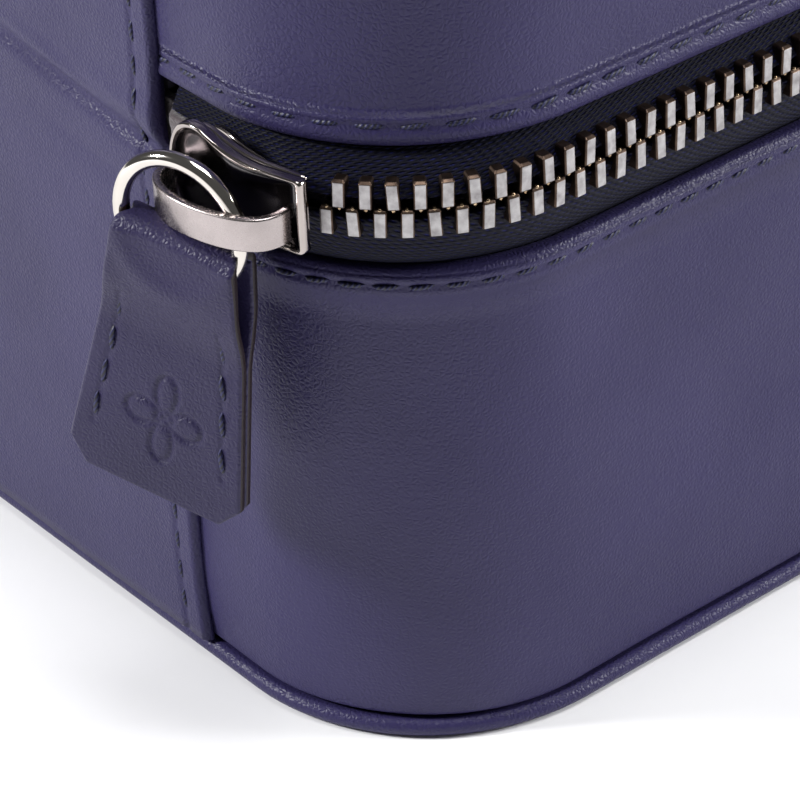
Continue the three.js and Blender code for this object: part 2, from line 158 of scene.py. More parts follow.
def leather(name, dark, light, roughness=(0.36, 0.50), grain=0.45):
    """Smooth calf leather: fine pebbled grain, pores, soft tone changes, faint rubbed sheen."""
    material, tree, shader = new_material(name)
    where = position(tree)
    tone = noise_of(tree, where, 45.0, 4.0)
    tree.links.new(ramp(tree, tone, [(0.3, dark), (0.72, light)]), shader.inputs["Base Color"])
    polish = node(tree, "ShaderNodeMapRange")
    polish.inputs["To Min"].default_value = roughness[0]
    polish.inputs["To Max"].default_value = roughness[1]
    tree.links.new(noise_of(tree, where, 140.0, 5.0, 0.65), polish.inputs["Value"])
    tree.links.new(polish.outputs["Result"], shader.inputs["Roughness"])
    warp = node(tree, "ShaderNodeTexNoise", Scale=900.0, Detail=2.0)
    tree.links.new(where, warp.inputs["Vector"])
    mix = node(tree, "ShaderNodeVectorMath", operation="MULTIPLY_ADD")
    mix.inputs[1].default_value = (0.0006, 0.0006, 0.0006)
    tree.links.new(warp.outputs["Color"], mix.inputs[0])
    tree.links.new(where, mix.inputs[2])
    cells = node(tree, "ShaderNodeTexVoronoi", feature="DISTANCE_TO_EDGE", Scale=1900.0)
    tree.links.new(mix.outputs["Vector"], cells.inputs["Vector"])
    pebbles = ramp(tree, cells.outputs["Distance"], [(0.0, (0, 0, 0)), (0.35, (1, 1, 1))])
    coarse = noise_of(tree, where, 420.0, 4.0, 0.6)
    normal = bump(tree, coarse, 0.30, 0.00025)
    normal = bump(tree, pebbles, grain, 0.00010, normal)
    tree.links.new(normal, shader.inputs["Normal"])
    shader.inputs["Specular IOR Level"].default_value = 0.27
    shader.inputs["Sheen Weight"].default_value = 0.02
    shader.inputs["Sheen Roughness"].default_value = 0.4
    shader.inputs["Sheen Tint"].default_value = (0.75, 0.7, 0.85, 1)
    return material


def thread_material():
    """Twisted waxed thread: fine diagonal ply lines over a dark blue."""
    material, tree, shader = new_material("waxed_thread")
    where = position(tree)
    ply = node(tree, "ShaderNodeTexWave", Scale=900.0, Distortion=1.5, bands_direction="DIAGONAL")
    tree.links.new(where, ply.inputs["Vector"])
    color = ramp(tree, ply.outputs["Fac"], [(0.2, (0.002, 0.002, 0.014)), (0.9, (0.011, 0.012, 0.075))])
    tree.links.new(color, shader.inputs["Base Color"])
    tree.links.new(bump(tree, ply.outputs["Fac"], 0.6, 0.0001), shader.inputs["Normal"])
    shader.inputs["Roughness"].default_value = 0.5
    return material


def tape_material():
    """Woven zip tape: rows of twill along the tape, with painted highlights where a few threads would glint.
    """
    material, tree, shader = new_material("zip_tape_weave")
    uv = tree.nodes.new("ShaderNodeTexCoord").outputs["UV"]
    twill = node(tree, "ShaderNodeTexWave", Scale=0.62, Distortion=0.6, bands_direction="DIAGONAL")
    rows = node(tree, "ShaderNodeTexWave", Scale=0.5, Distortion=0.3, bands_direction="Y")
    for wave in (twill, rows):
        tree.links.new(uv, wave.inputs["Vector"])
    cross = node(tree, "ShaderNodeMath", operation="MULTIPLY")
    tree.links.new(twill.outputs["Fac"], cross.inputs[0])
    tree.links.new(rows.outputs["Fac"], cross.inputs[1])
    fuzz = noise_of(tree, position(tree), 1800.0, 3.0, 0.7)
    both = node(tree, "ShaderNodeMath", operation="MULTIPLY")
    tree.links.new(cross.outputs["Value"], both.inputs[0])
    tree.links.new(fuzz, both.inputs[1])
    # The two darker stops are the weave's own colour; the brightest stop is a painted highlight for the
    # glinting threads
    stops = [(0.05, (0.0005, 0.0005, 0.005)), (0.35, (0.0015, 0.002, 0.024)), (0.75, (0.010, 0.014, 0.14))]
    tree.links.new(ramp(tree, both.outputs["Value"], stops), shader.inputs["Base Color"])
    shader.inputs["Specular IOR Level"].default_value = 0.12
    tree.links.new(bump(tree, both.outputs["Value"], 1.0, 0.0004), shader.inputs["Normal"])
    shader.inputs["Roughness"].default_value = 0.6
    shader.inputs["Sheen Weight"].default_value = 0.02
    return material


def metal(name, dark, light, roughness, wear=0.1, scale=300.0):
    """Plated metal: tone changes, fine scratches and a slightly uneven polish."""
    material, tree, shader = new_material(name)
    where = position(tree)
    tone = noise_of(tree, where, scale, 5.0, 0.6)
    tree.links.new(ramp(tree, tone, [(0.3, dark), (0.7, light)]), shader.inputs["Base Color"])
    shader.inputs["Metallic"].default_value = 1.0
    polish = node(tree, "ShaderNodeMapRange")
    polish.inputs["To Min"].default_value = roughness
    polish.inputs["To Max"].default_value = roughness + wear
    scratches = noise_of(tree, where, scale * 9, 6.0, 0.75)
    tree.links.new(scratches, polish.inputs["Value"])
    tree.links.new(polish.outputs["Result"], shader.inputs["Roughness"])
    tree.links.new(bump(tree, scratches, 0.08, 0.00004), shader.inputs["Normal"])
    return material


def suede_material(name, dark, light):
    """Napped suede: brushed patches, a soft pile and a pale sheen at grazing angles."""
    material, tree, shader = new_material(name)
    where = position(tree)
    brushed = noise_of(tree, where, 70.0, 5.0, 0.6)
    tree.links.new(ramp(tree, brushed, [(0.3, dark), (0.7, light)]), shader.inputs["Base Color"])
    pile = noise_of(tree, where, 2600.0, 4.0, 0.8)
    tree.links.new(bump(tree, pile, 0.7, 0.0003), shader.inputs["Normal"])
    shader.inputs["Roughness"].default_value = 0.95
    shader.inputs["Sheen Weight"].default_value = 0.5
    shader.inputs["Specular IOR Level"].default_value = 0.2
    return material


def board_material():
    """Grey pressed board with fibre flecks."""
    material, tree, shader = new_material("pressed_board")
    flecks = noise_of(tree, position(tree), 1200.0, 6.0, 0.8)
    stops = [(0.35, (0.10, 0.09, 0.085)), (0.6, (0.24, 0.22, 0.20))]
    tree.links.new(ramp(tree, flecks, stops), shader.inputs["Base Color"])
    tree.links.new(bump(tree, flecks, 0.4, 0.0002), shader.inputs["Normal"])
    shader.inputs["Roughness"].default_value = 0.9
    return material


def mirror_material():
    """Silvered glass, with a hint of unevenness in the polish."""
    material, tree, shader = new_material("silvered_glass")
    haze = noise_of(tree, position(tree), 30.0, 2.0)
    stops = [(0.3, (0.80, 0.83, 0.84)), (0.7, (0.87, 0.89, 0.90))]
    tree.links.new(ramp(tree, haze, stops), shader.inputs["Base Color"])
    shader.inputs["Metallic"].default_value = 1.0
    shader.inputs["Roughness"].default_value = 0.03
    return material


NAVY = leather("navy_leather", (0.023, 0.0185, 0.071), (0.031, 0.0255, 0.088))
NAVY_TAB = leather("tab_leather", (0.014, 0.011, 0.042), (0.025, 0.020, 0.066), (0.38, 0.50), 0.45)
NAVY_DARK = leather("dark_leather", (0.008, 0.007, 0.022), (0.014, 0.012, 0.034))
EDGE_PAINT = leather("edge_paint", (0.006, 0.003, 0.004), (0.014, 0.008, 0.009), (0.3, 0.45), 0.15)
THREAD = thread_material()
TAPE = tape_material()
TOOTH_FACE = metal("tooth_face", (0.26, 0.245, 0.25), (0.50, 0.485, 0.49), 0.34, 0.25, 900.0)
TOOTH_SIDE = metal("tooth_side", (0.035, 0.024, 0.020), (0.11, 0.075, 0.055), 0.30, 0.2, 900.0)
BRASS = metal("tooth_nib", (0.30, 0.21, 0.13), (0.50, 0.38, 0.25), 0.18, 0.1, 900.0)
NICKEL = metal("dark_nickel", (0.34, 0.30, 0.28), (0.44, 0.395, 0.375), 0.07, 0.07, 120.0)
# Darker copy of the nickel: painted shade for the hollow inside the slider's face plate
NICKEL_PAINTED_SHADE = metal("nickel_painted_shade", (0.045, 0.040, 0.042), (0.085, 0.075, 0.075), 0.12, 0.08, 200.0)
NICKEL_RING = metal("ring_nickel", (0.58, 0.54, 0.50), (0.70, 0.66, 0.61), 0.06, 0.06, 120.0)
NICKEL_SATIN = metal("satin_nickel", (0.34, 0.30, 0.295), (0.44, 0.39, 0.385), 0.22, 0.10, 200.0)
SUEDE = suede_material("lilac_suede", (0.16, 0.145, 0.235), (0.24, 0.22, 0.33))
FUZZ = suede_material("tape_end_nap", (0.03, 0.024, 0.028), (0.11, 0.085, 0.092))
BOARD = board_material()
MIRROR = mirror_material()


# ---------------------------------------------------------------- mesh helpers

def build(name, points, faces, material, uvs=None, smooth=True, extra=(), indices=None):
    """A mesh object from points in millimetres."""
    mesh = bpy.data.meshes.new(name)
    mesh.from_pydata([tuple(float(c) * MM for c in p) for p in points], [], faces)
    mesh.materials.append(material)
    for more in extra:
        mesh.materials.append(more)
    if indices is not None:
        mesh.polygons.foreach_set("material_index", indices)
    if uvs is not None:
        layer = mesh.uv_layers.new(name="UVMap")
        for loop in mesh.loops:
            layer.data[loop.index].uv = uvs[loop.vertex_index]
    mesh.validate()
    mesh.update()
    thing = bpy.data.objects.new(name, mesh)
    bpy.context.scene.collection.objects.link(thing)
    if smooth:
        mesh.polygons.foreach_set("use_smooth", [True] * len(mesh.polygons))
    return thing


def grid_faces(rows, columns, wrap_rows, wrap_columns, flip=False):
    """Quads between the points of a grid, which may close on itself either way."""
    faces = []
    for r in range(rows if wrap_rows else rows - 1):
        for c in range(columns if wrap_columns else columns - 1):
            r2 = (r + 1) % rows
            c2 = (c + 1) % columns
            quad = [r * columns + c, r * columns + c2, r2 * columns + c2, r2 * columns + c]
            faces.append(quad[::-1] if flip else quad)
    return faces


def tube_faces(rings, sides, flip=False):
    """Faces of a row of rings, with a cap at each end."""
    first = list(range(sides))
    last = [(rings - 1) * sides + k for k in first]
    caps = [first, last[::-1]] if flip else [first[::-1], last]
    return grid_faces(rings, sides, False, True, flip) + caps


def sheet_faces(rows, columns, flip=False):
    """Faces of a thin sheet: front, back, then edge. The back's points follow the front's."""
    half = rows * columns
    faces = grid_faces(rows, columns, False, False, flip)
    faces += [[half + k for k in face[::-1]] for face in faces]
    rim = list(range(columns)) + [r * columns + columns - 1 for r in range(1, rows)]
    rim += [(rows - 1) * columns + k for k in range(columns - 2, -1, -1)]
    rim += [r * columns for r in range(rows - 2, 0, -1)]
    for a, b in zip(rim, rim[1:] + rim[:1]):
        quad = [a, b, b + half, a + half]
        faces.append(quad if flip else quad[::-1])
    return faces


def ease(value, start, end):
    """Smooth step from 0 at start to 1 at end."""
    t = min(1.0, max(0.0, (value - start) / (end - start)))
    return t * t * (3 - 2 * t)


def corner_points(offset, corner, centre, start, count):
    angles = np.radians(np.linspace(start, start + 90, count, endpoint=False))
    normals = np.stack([np.cos(angles), np.sin(angles)], 1)
    return np.array(centre) + normals * (corner + offset), normals


def round_the_case(offset, corner, start, back, deep, front, turns):
    """Points and outward normals, counter-clockwise from x = -start on the back to x = start.

    back, deep, front and turns are the counts of points on half the back, a side, the front and a corner."""
    x = SIDE - corner
    y = BACK - corner
    sides = [
        ((0, 1), (-start, BACK), (-x, BACK), back),
        ((-1, 0), (-SIDE, y), (-SIDE, -y), deep),
        ((0, -1), (-x, -BACK), (x, -BACK), front),
        ((1, 0), (SIDE, -y), (SIDE, y), deep),
        ((0, 1), (x, BACK), (start, BACK), back),
    ]
    centres = [(-x, y), (-x, -y), (x, -y), (x, y)]
    points, normals = [], []
    for k, (normal, begin, end, count) in enumerate(sides):
        n = np.tile(np.array(normal, float), (count, 1))
        t = np.linspace(0, 1, count, endpoint=False)[:, None]
        points.append(np.array(begin) * (1 - t) + np.array(end) * t + n * offset)
        normals.append(n)
        if k < len(centres):
            p, n = corner_points(offset, corner, centres[k], 90 * (k + 1) % 360, turns)
            points.append(p)
            normals.append(n)
    return np.concatenate(points), np.concatenate(normals)


def outline(offset=0.0):
    """Closed outline of the case, from the middle of the back."""
    return round_the_case(offset, CORNER, start=0, back=30, deep=40, front=60, turns=22)


def zip_line(offset, corner, turns=44):
    """Open route of the zip, from the back left round the front to the back right."""
    return round_the_case(offset, corner, ZIP_END, back=8, deep=90, front=130, turns=turns)


def lengths(points):
    """Length along a line up to each of its points."""
    steps = np.linalg.norm(np.diff(points, axis=0), axis=1)
    return np.concatenate([[0], np.cumsum(steps)])


def point_on(line, run, s):
    """The point at length s along a line, where run holds the length up to each of its points."""
    return np.array([np.interp(s, run, line[:, k]) for k in range(line.shape[1])])


def ring_sweep(name, profile, material, ripple=0.0):
    """A closed band round the case. profile holds (outwards, height) points round its section."""
    points, normals = outline()
    run = lengths(points)
    section = np.array(profile)
    along = lengths(section)
    verts, uvs = [], []
    for (p, n), s in zip(zip(points, normals), run):
        for (out, z), t in zip(section, along):
            lift = 0.0
            if ripple and out > -0.9:
                lift = ripple * noise.noise(Vector((p[0] * 0.05, p[1] * 0.05, z * 0.07)))
            verts.append((p[0] + n[0] * (out + lift), p[1] + n[1] * (out + lift), z))
            uvs.append((s, t))
    faces = grid_faces(len(points), len(section), True, True)
    return build(name, verts, faces, material, uvs)


def bezier(a, b, c, count):
    t = np.linspace(0, 1, count)[:, None]
    a, b, c = (np.array(p, float) for p in (a, b, c))
    return (1 - t) ** 2 * a + 2 * t * (1 - t) * b + t ** 2 * c


def arc(centre, radius, start, end, count):
    angles = np.radians(np.linspace(start, end, count))
    return [(centre[0] + radius * math.cos(a), centre[1] + radius * math.sin(a)) for a in angles]


def thread_piece(length, radius, sides=8, rings=7):
    """One stitch along +X: fat in the middle, diving in at both ends (-Z is into the leather)."""
    verts = []
    for i in range(rings):
        t = i / (rings - 1) * 2 - 1
        girth = radius * math.sqrt(max(0.0, 1 - abs(t) ** 3.5)) + 0.02
        sink = -radius * 1.3 * abs(t) ** 3
        for k in range(sides):
            a = 2 * math.pi * k / sides
            verts.append((t * length / 2, girth * math.cos(a), sink + girth * math.sin(a) * 0.85))
    return np.array(verts), tube_faces(rings, sides, flip=True)


def stitch_row(name, path, outs, pitch, radius=0.27, tilt=4.0):
    """Stitches along a 3-D path. outs holds the leather's outward normal at each path point."""
    path = np.array(path, float)
    outs = np.array(outs, float)
    run = lengths(path)
    count = int(run[-1] / pitch)
    gap = run[-1] / count
    shape, shape_faces = thread_piece(gap * STITCH_FILL, radius)
    verts, faces = [], []
    for i in range(count):
        s = (i + 0.5) * gap
        here = point_on(path, run, s)
        out = point_on(outs, run, s)
        out /= np.linalg.norm(out)
        x = point_on(path, run, s + 0.3) - point_on(path, run, s - 0.3)
        x -= out * (x @ out)
        x /= np.linalg.norm(x)
        y = np.cross(out, x)
        angle = math.radians(tilt + 3.0 * math.sin(i * 2.3))
        x, y = x * math.cos(angle) + y * math.sin(angle), y * math.cos(angle) - x * math.sin(angle)
        base = len(verts)
        for vx, vy, vz in shape:
            verts.append(here + x * vx + y * vy + out * vz)
        faces.extend([[base + k for k in face] for face in shape_faces])
    return build(name, verts, faces, THREAD)


def rim_path(z):
    """Closed path round the walls at height z, with the walls' outward normals."""
    points, normals = outline()
    closed = np.vstack([points, points[:1]])
    outs = np.vstack([normals, normals[:1]])
    height = np.full((len(closed), 1), z)
    return np.hstack([closed, height]), np.hstack([outs, height * 0])


def subdivide(piece, levels):
    modifier = piece.modifiers.new("subdivide", "SUBSURF")
    modifier.levels = levels
    modifier.render_levels = levels
    return piece


def finish_piece(piece, body, slot, *nodes):
    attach(piece, body)
    if nodes:
        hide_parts(*nodes)
    return piece


# ---------------------------------------------------------------- leather walls

def wall_profile(low, high, seam, seam_side, rim_fat=0.28):
    """Section of a leather wall: rounded ends, a stitched groove and a soft rolled edge beyond it."""
    r = 0.75
    inner = -LEATHER
    face = []
    seam_low, seam_high = seam - 0.45, seam + 0.45
    fat_top = rim_fat if seam_side > 0 else 0.0
    fat_low = rim_fat if seam_side < 0 else 0.0
    face += [(fat_low - r, low)] if seam_side > 0 else []
    face += arc((fat_low - r, low + r), r, -90, 0, 6)
    if seam_side < 0:
        face += [(rim_fat + 0.02, (low + seam_low) / 2), (rim_fat * 0.6, seam_low)]
        face += [(-0.16, seam), (0.02, seam_high), (0.05, seam_high + 0.8)]
    middle = np.linspace(low + 3.2, high - 3.2, 16)
    face += [(0.04, z) for z in middle]
    if seam_side > 0:
        face += [(0.05, seam_low - 0.8), (0.02, seam_low), (-0.16, seam)]
        face += [(rim_fat * 0.6, seam_high), (rim_fat + 0.02, (high + seam_high) / 2)]
    face += arc((fat_top - r, high - r), r, 0, 90, 6)
    face += arc((inner + 0.5, high - 0.5), 0.5, 90, 180, 4)
    face += [(inner, z) for z in np.linspace(high - 1.5, low + 1.5, 6)]
    face += arc((inner + 0.5, low + 0.5), 0.5, 180, 270, 4)
    ordered = []
    for point in face:
        if not ordered or math.dist(point, ordered[-1]) > 1e-3:
            ordered.append(point)
    return ordered


def welt_profile(low, high, proud):
    """Section of the piping: a round bead with a flat flange let in under the wall."""
    middle = (low + high) / 2
    half = (high - low) / 2
    bead = arc((proud - half, middle), half, -100, 100, 14)
    return bead + [(-1.2, high - 0.25), (-2.4, high - 0.25), (-2.4, low + 0.1), (-1.2, low + 0.1)]


def make_walls():
    """The leather walls with their stitched rims, and the piping at the foot and the top."""
    for body, low, high, seam, side, ripple, pitch in (
        ("base", SHELL_LOW[2], BASE_RIM, BASE_RIM - BASE_SEAM, 1, 0.35, STITCH_BASE),
        ("lid", LID_RIM, LID_SHOULDER, LID_RIM + LID_SEAM, -1, 0.3, STITCH_LID),
    ):
        wall = ring_sweep(f"{body}_leather_wall", wall_profile(low, high, seam, side), NAVY, ripple)
        finish_piece(wall, body, "leather", f"{body}_shell")
        finish_piece(stitch_row(f"{body}_rim_stitches", *rim_path(seam), pitch), body, "leather")
    proud = span("base_welt")[1][0] - SIDE
    for body in ("base", "lid"):
        low, high = span(f"{body}_welt")
        piping = ring_sweep(f"{body}_piping", welt_profile(low[2], high[2], proud), NAVY)
        finish_piece(piping, body, "leather", f"{body}_welt")


def make_lid_top():
    """The padded top: flat underside, rounded edge, soft crown over the middle."""
    low, high = span("lid_panel")
    points, normals = outline(high[0] - SIDE)
    foot = low[2]
    crown = high[2] - foot
    rings = [(points, foot)]
    for t in np.linspace(0, 1, 14):
        edge = math.sqrt(1 - (1 - min(1.0, t * 2.2)) ** 2)
        rise = crown * (0.55 * edge + 0.45 * (1 - (1 - t) ** 2))
        rings.append((points - normals * SLAB_SHOULDER * t ** 1.6, foot + rise))
    shoulder = rings[-1][0]
    rings += [(shoulder * share, foot + crown) for share in (0.8, 0.6, 0.4, 0.2, 0.03)]
    verts = [(x, y, z) for ring, z in rings for x, y in ring]
    top = build("lid_top_leather", verts, tube_faces(len(rings), len(points), flip=True), NAVY)
    finish_piece(top, "lid", "leather", "lid_panel")


# ---------------------------------------------------------------- hinge panel

def panel_edge(z):
    """The panel flares a little towards the foot, and is nipped in at the crease."""
    flare = 1.2 * max(0.0, (14 - z) / 14) ** 2
    nip = 0.5 * math.exp(-((z - HINGE) / 5) ** 2)
    return flare - nip


def panel_x(x, z):
    """Where a point of the panel lies across, with the flare and nip at its side edges."""
    return x + panel_edge(z) * (abs(x) / PANEL_HALF) ** 8 * math.copysign(1, x)


def panel_depth(x, z):
    """How far the panel's face stands out from the back wall."""
    fold = math.exp(-((z - HINGE) / 1.6) ** 2)
    near_edge = max(0.0, 1 - (PANEL_HALF - abs(x)) / 26)
    drop = 4.0 * near_edge
    crease = 0.75 * math.exp(-((z - HINGE + drop) / 1.0) ** 2)
    crease += 0.35 * near_edge * math.exp(-((z - HINGE - 4 + drop * 1.8) / 1.1) ** 2)
    crease += 0.30 * near_edge * math.exp(-((z - HINGE + 6 + drop) / 1.3) ** 2)
    soft = 0.18 * noise.noise(Vector((x * 0.06, 0, z * 0.05)))
    groove = 0.22 * math.exp(-((PANEL_HALF - PANEL_SEAM - abs(x)) / 0.4) ** 2)
    return 1.25 + 0.25 * fold - crease + soft - groove


def make_hinge_panel():
    low = span("hinge_panel_lower")[0][2]
    high = LID_SHOULDER - 0.2
    xs = np.unique(np.concatenate([
        np.linspace(-PANEL_HALF, PANEL_HALF, 90),
        np.linspace(-PANEL_HALF, -PANEL_HALF + 6, 20),
        np.linspace(PANEL_HALF - 6, PANEL_HALF, 20),
    ]).round(4))
    zs = np.concatenate([np.linspace(low, high, 60), np.linspace(HINGE - 8, HINGE + 8, 48)])
    zs = np.unique(zs.round(4))
    front, back = [], []
    for z in zs:
        gap = 0.12 if z < BASE_RIM or z > LID_RIM else -0.35
        for x in xs:
            edge = max(0.0, 1 - (PANEL_HALF - abs(x)) / 0.7)
            front.append((panel_x(x, z), BACK + panel_depth(x, z) - 0.75 * edge ** 2, z))
            back.append((panel_x(x, z), BACK + gap, z))
    faces = sheet_faces(len(zs), len(xs), flip=True)
    panel = build("hinge_leather_panel", front + back, faces, NAVY)
    bend_here(panel)
    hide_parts("hinge_panel_lower", "hinge_panel_upper")
    for name, side in (("hinge_stitches_left", -1), ("hinge_stitches_right", 1)):
        x = side * (PANEL_HALF - PANEL_SEAM)
        heights = np.linspace(low + 2, high - 2, 120)
        path = [(x + side * panel_edge(z) * 0.7, BACK + panel_depth(x, z) + 0.05, z) for z in heights]
        outs = [(0, 1, 0)] * len(path)
        bend_here(stitch_row(name, path, outs, STITCH_PANEL))


def bend_here(piece):
    """Bake a piece's placement into its mesh. The piece is not bent between base and lid."""
    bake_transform(piece)


# ---------------------------------------------------------------- zip

def tape_strip(name, wall_z, edge_z, hidden_z, body, node_name):
    """Woven tape from behind a leather rim out to just behind the teeth."""
    wall, _ = zip_line(-LEATHER - 0.35, CORNER)
    chain, _ = zip_line(CHAIN_PROUD - 1.0, ZIP_CORNER)
    # Along the back the tape's edge stays against the wall
    chain[:, 1] = np.minimum(chain[:, 1], BACK + 0.3)
    toward = 1 if edge_z > wall_z else -1
    run = lengths(chain)
    columns = 22
    verts, uvs = [], []
    for side in (0, 1):
        for w, c, s in zip(wall, chain, run):
            inner = np.array([w[0], w[1], hidden_z])
            lip = np.array([w[0], w[1], wall_z + toward * 0.2])
            knee = np.array([*(w * 0.35 + c * 0.65), wall_z + toward * 1.8])
            edge = np.array([c[0], c[1], edge_z])
            curve = np.vstack([inner[None], bezier(lip, knee, edge, columns - 1)])
            pull = c - w
            pull = np.array([pull[0], pull[1], 0]) / np.linalg.norm(pull)
            for k, p in enumerate(curve):
                bead = 0.22 if k >= columns - 2 else 0.0
                puff = 0.10 * noise.noise(Vector((s * 0.35, k * 0.5, wall_z)))
                verts.append(p + pull * ((0.3 + bead + puff) if side == 0 else -0.3 - bead))
                uvs.append((s, k * 0.5))
    faces = sheet_faces(len(wall), columns, flip=toward < 0)
    strip = build(name, verts, faces, TAPE, uvs)
    return finish_piece(strip, body, "zip_cloth", node_name)


def tooth_shape():
    """One metal tooth: face outwards (+Y), wide across x, its head towards +Z. Kinds: 0 face, 1 side."""
    half = 0.64
    depth = TOOTH_DEPTH
    chamfer = 0.14
    outer = [(chamfer - half, depth), (half - chamfer, depth), (half, depth - chamfer)]
    outer += [(half, -depth), (-half, -depth), (-half, depth - chamfer)]
    low, high = -1.5, TOOTH_TIP
    levels = [(low, 0.72, -0.35), (low + 0.22, 1.0, 0.0), (high - 0.22, 1.0, 0.0), (high, 0.86, -0.22)]
    verts = []
    for z, scale, back in levels:
        for x, y in outer:
            verts.append((x * scale, min(y, depth + back) if y > 0 else y, z))
    faces = tube_faces(len(levels), len(outer))
    kinds = [1] * len(faces)
    kinds[len(outer)] = 0
    return np.array(verts), faces, kinds


def nib_shape():
    """The small rounded head that sticks out of a tooth's tip."""
    verts = []
    rings, sides = 5, 8
    for i in range(rings):
        a = math.pi * (i + 0.5) / rings
        for k in range(sides):
            b = 2 * math.pi * k / sides
            flat = math.sin(a)
            verts.append((0.27 * flat * math.cos(b), 0.24 * flat * math.sin(b), 0.26 * math.cos(a)))
    first = list(range(sides))
    last = [(rings - 1) * sides + k for k in first]
    return np.array(verts), grid_faces(rings, sides, False, True) + [first, last[::-1]]


def tooth_row(name, head_up, shift, body, node_name):
    """Teeth along one tape, half a pitch apart from those on the other."""
    line, _ = zip_line(CHAIN_PROUD, ZIP_CORNER, turns=90)
    run = lengths(line)
    shape, shape_faces, kinds = tooth_shape()
    nib, nib_faces = nib_shape()
    verts, faces, indices = [], [], []
    up = 1 if head_up else -1
    foot = CHAIN - up * TOOTH_TIP
    for s in np.arange(FIRST_TOOTH + shift, run[-1] - 2, TOOTH_PITCH):
        here = point_on(line, run, s)
        if here[1] > LAST_TOOTH:
            continue
        ahead = point_on(line, run, s + 0.4)
        along = (ahead - here) / np.linalg.norm(ahead - here)
        out = np.array([along[1], -along[0]])
        lean = 0.05 * math.sin(s * 1.7)
        base = len(verts)
        for vx, vy, vz in shape:
            flat = here + along * (vx + lean * vz) * up + out * (vy - TOOTH_DEPTH)
            verts.append((*flat, foot + up * vz))
        faces.extend([[base + k for k in face] for face in shape_faces])
        indices.extend(kinds)
        base = len(verts)
        for vx, vy, vz in nib:
            flat = here + along * vx * up + out * (vy - NIB_DEPTH)
            verts.append((*flat, foot + up * (vz + NIB_RISE)))
        faces.extend([[base + k for k in face] for face in nib_faces])
        indices.extend([2] * len(nib_faces))
    row = build(name, verts, faces, TOOTH_FACE, smooth=False, extra=(TOOTH_SIDE, BRASS), indices=indices)
    bevel = row.modifiers.new("edges", "BEVEL")
    bevel.width = 0.07 * MM
    bevel.segments = 2
    bevel.limit_method = "ANGLE"
    return finish_piece(row, body, "zip_metal", node_name)


def zip_end(name, side):
    """Frayed end of the tapes, tucked behind the hinge panel."""
    rows, columns = 30, 26
    wide, high = 9.5, 9.0
    tucked = 4.0
    verts, uvs = [], []
    for layer in (0.45, -0.45):
        for i in range(rows):
            for k in range(columns):
                x = PANEL_HALF - tucked + wide * k / (columns - 1)
                z = CHAIN - 7.0 + high * i / (rows - 1)
                rumple = 0.35 * noise.noise(Vector((x * 0.9, z * 0.7, side)))
                fray = 0.5 * noise.noise(Vector((z * 2.0, 3.0, side))) if k == columns - 1 else 0.0
                out = 2.0 * ease(x, PANEL_HALF, PANEL_HALF + 2.5) - 1.3
                verts.append((side * (x + fray), BACK + out + rumple + layer, z))
                uvs.append((x, z))
    faces = sheet_faces(rows, columns, flip=side > 0)
    bend_here(build(name, verts, faces, FUZZ, uvs))


def make_zip():
    zip_end("zip_end_left", -1)
    zip_end("zip_end_right", 1)
    tape_strip("zip_tape_below", BASE_RIM - 0.4, CHAIN - 1.1, BASE_RIM - 5, "base", "zip_tape_lower")
    tape_strip("zip_tape_above", LID_RIM + 0.6, CHAIN + 1.1, LID_RIM + 5, "lid", "zip_tape_upper")
    tooth_row("zip_teeth_below", True, TOOTH_PITCH / 2, "base", "zip_teeth_lower")
    tooth_row("zip_teeth_above", False, 0.0, "lid", "zip_teeth_upper")


# ---------------------------------------------------------------- slider

SLIDER_ANGLE = math.radians(100)
SLIDER_OUT = np.array([math.cos(SLIDER_ANGLE), math.sin(SLIDER_ANGLE), 0.0])
UP = np.array([0.0, 0.0, 1.0])
SLIDER_ALONG = np.cross(UP, SLIDER_OUT)
SLIDER_REAR = 7.5
SLIDER_NOSE = -9.3
SLIDER_HALF = 3.85
SHOULDER_HALF = 5.6
PLATE_FACE = 24.35
PLATE_BEND = 70.0
BACK_PLATE_LOW = 19.8
BACK_PLATE_BEND = 22.0


def at_slider(u, v, w):
    """A point by its place along the zip, height from the chain and distance from the arc's centre."""
    return ZIP_CENTRE + SLIDER_ALONG * u + UP * v + SLIDER_OUT * w


def plate_outline():
    """Half outline of the slider's face from the middle of its rear to the middle of its nose."""
    corner = arc((SLIDER_REAR - 0.5, SLIDER_HALF - 0.5), 0.5, 0, 90, 5)
    waist = bezier((3.0, SLIDER_HALF), (-1.0, SLIDER_HALF - 0.05), (-4.6, SHOULDER_HALF), 12)
    nose = bezier((-4.6, SHOULDER_HALF), (SLIDER_NOSE + 0.6, SHOULDER_HALF + 0.9), (SLIDER_NOSE, 0), 30)
    return np.array([(SLIDER_REAR, 0)] + corner + [tuple(p) for p in waist] + [tuple(p) for p in nose[1:]])


def plate(name, levels, bend, scale=1.0, painted_shade_from=99):
    """A plate from nested copies of the outline, bent to the radius bend.

    levels holds (shrink, height) from underside to face, scale narrows the outline, and from the level
    given by the last parameter on, the face's hollow is painted shade: a darker nickel in place of its
    shadow."""
    half = plate_outline()
    edge = np.vstack([half, half[1:-1][::-1] * np.array([1, -1])]) * np.array([1.0, scale])
    middle = np.array([-1.0, 0.0])
    reach = np.linalg.norm(edge - middle, axis=1, keepdims=True)
    verts = []
    for shrink, height in levels:
        ring = middle + (edge - middle) * np.maximum(0.04, 1 - shrink / reach)
        for u, v in ring:
            verts.append(at_slider(u, v, height - u * u / (2 * bend)))
    count = len(edge)
    faces = tube_faces(len(levels), count)
    # Faces from the shaded level on take the darker nickel, which paints the shade in the face's hollow
    kinds = [1 if k // count >= painted_shade_from else 0 for k in range(len(faces) - 2)]
    kinds += [0, 1 if painted_shade_from < len(levels) else 0]
    return build(name, verts, faces, NICKEL, extra=(NICKEL_PAINTED_SHADE,), indices=kinds)


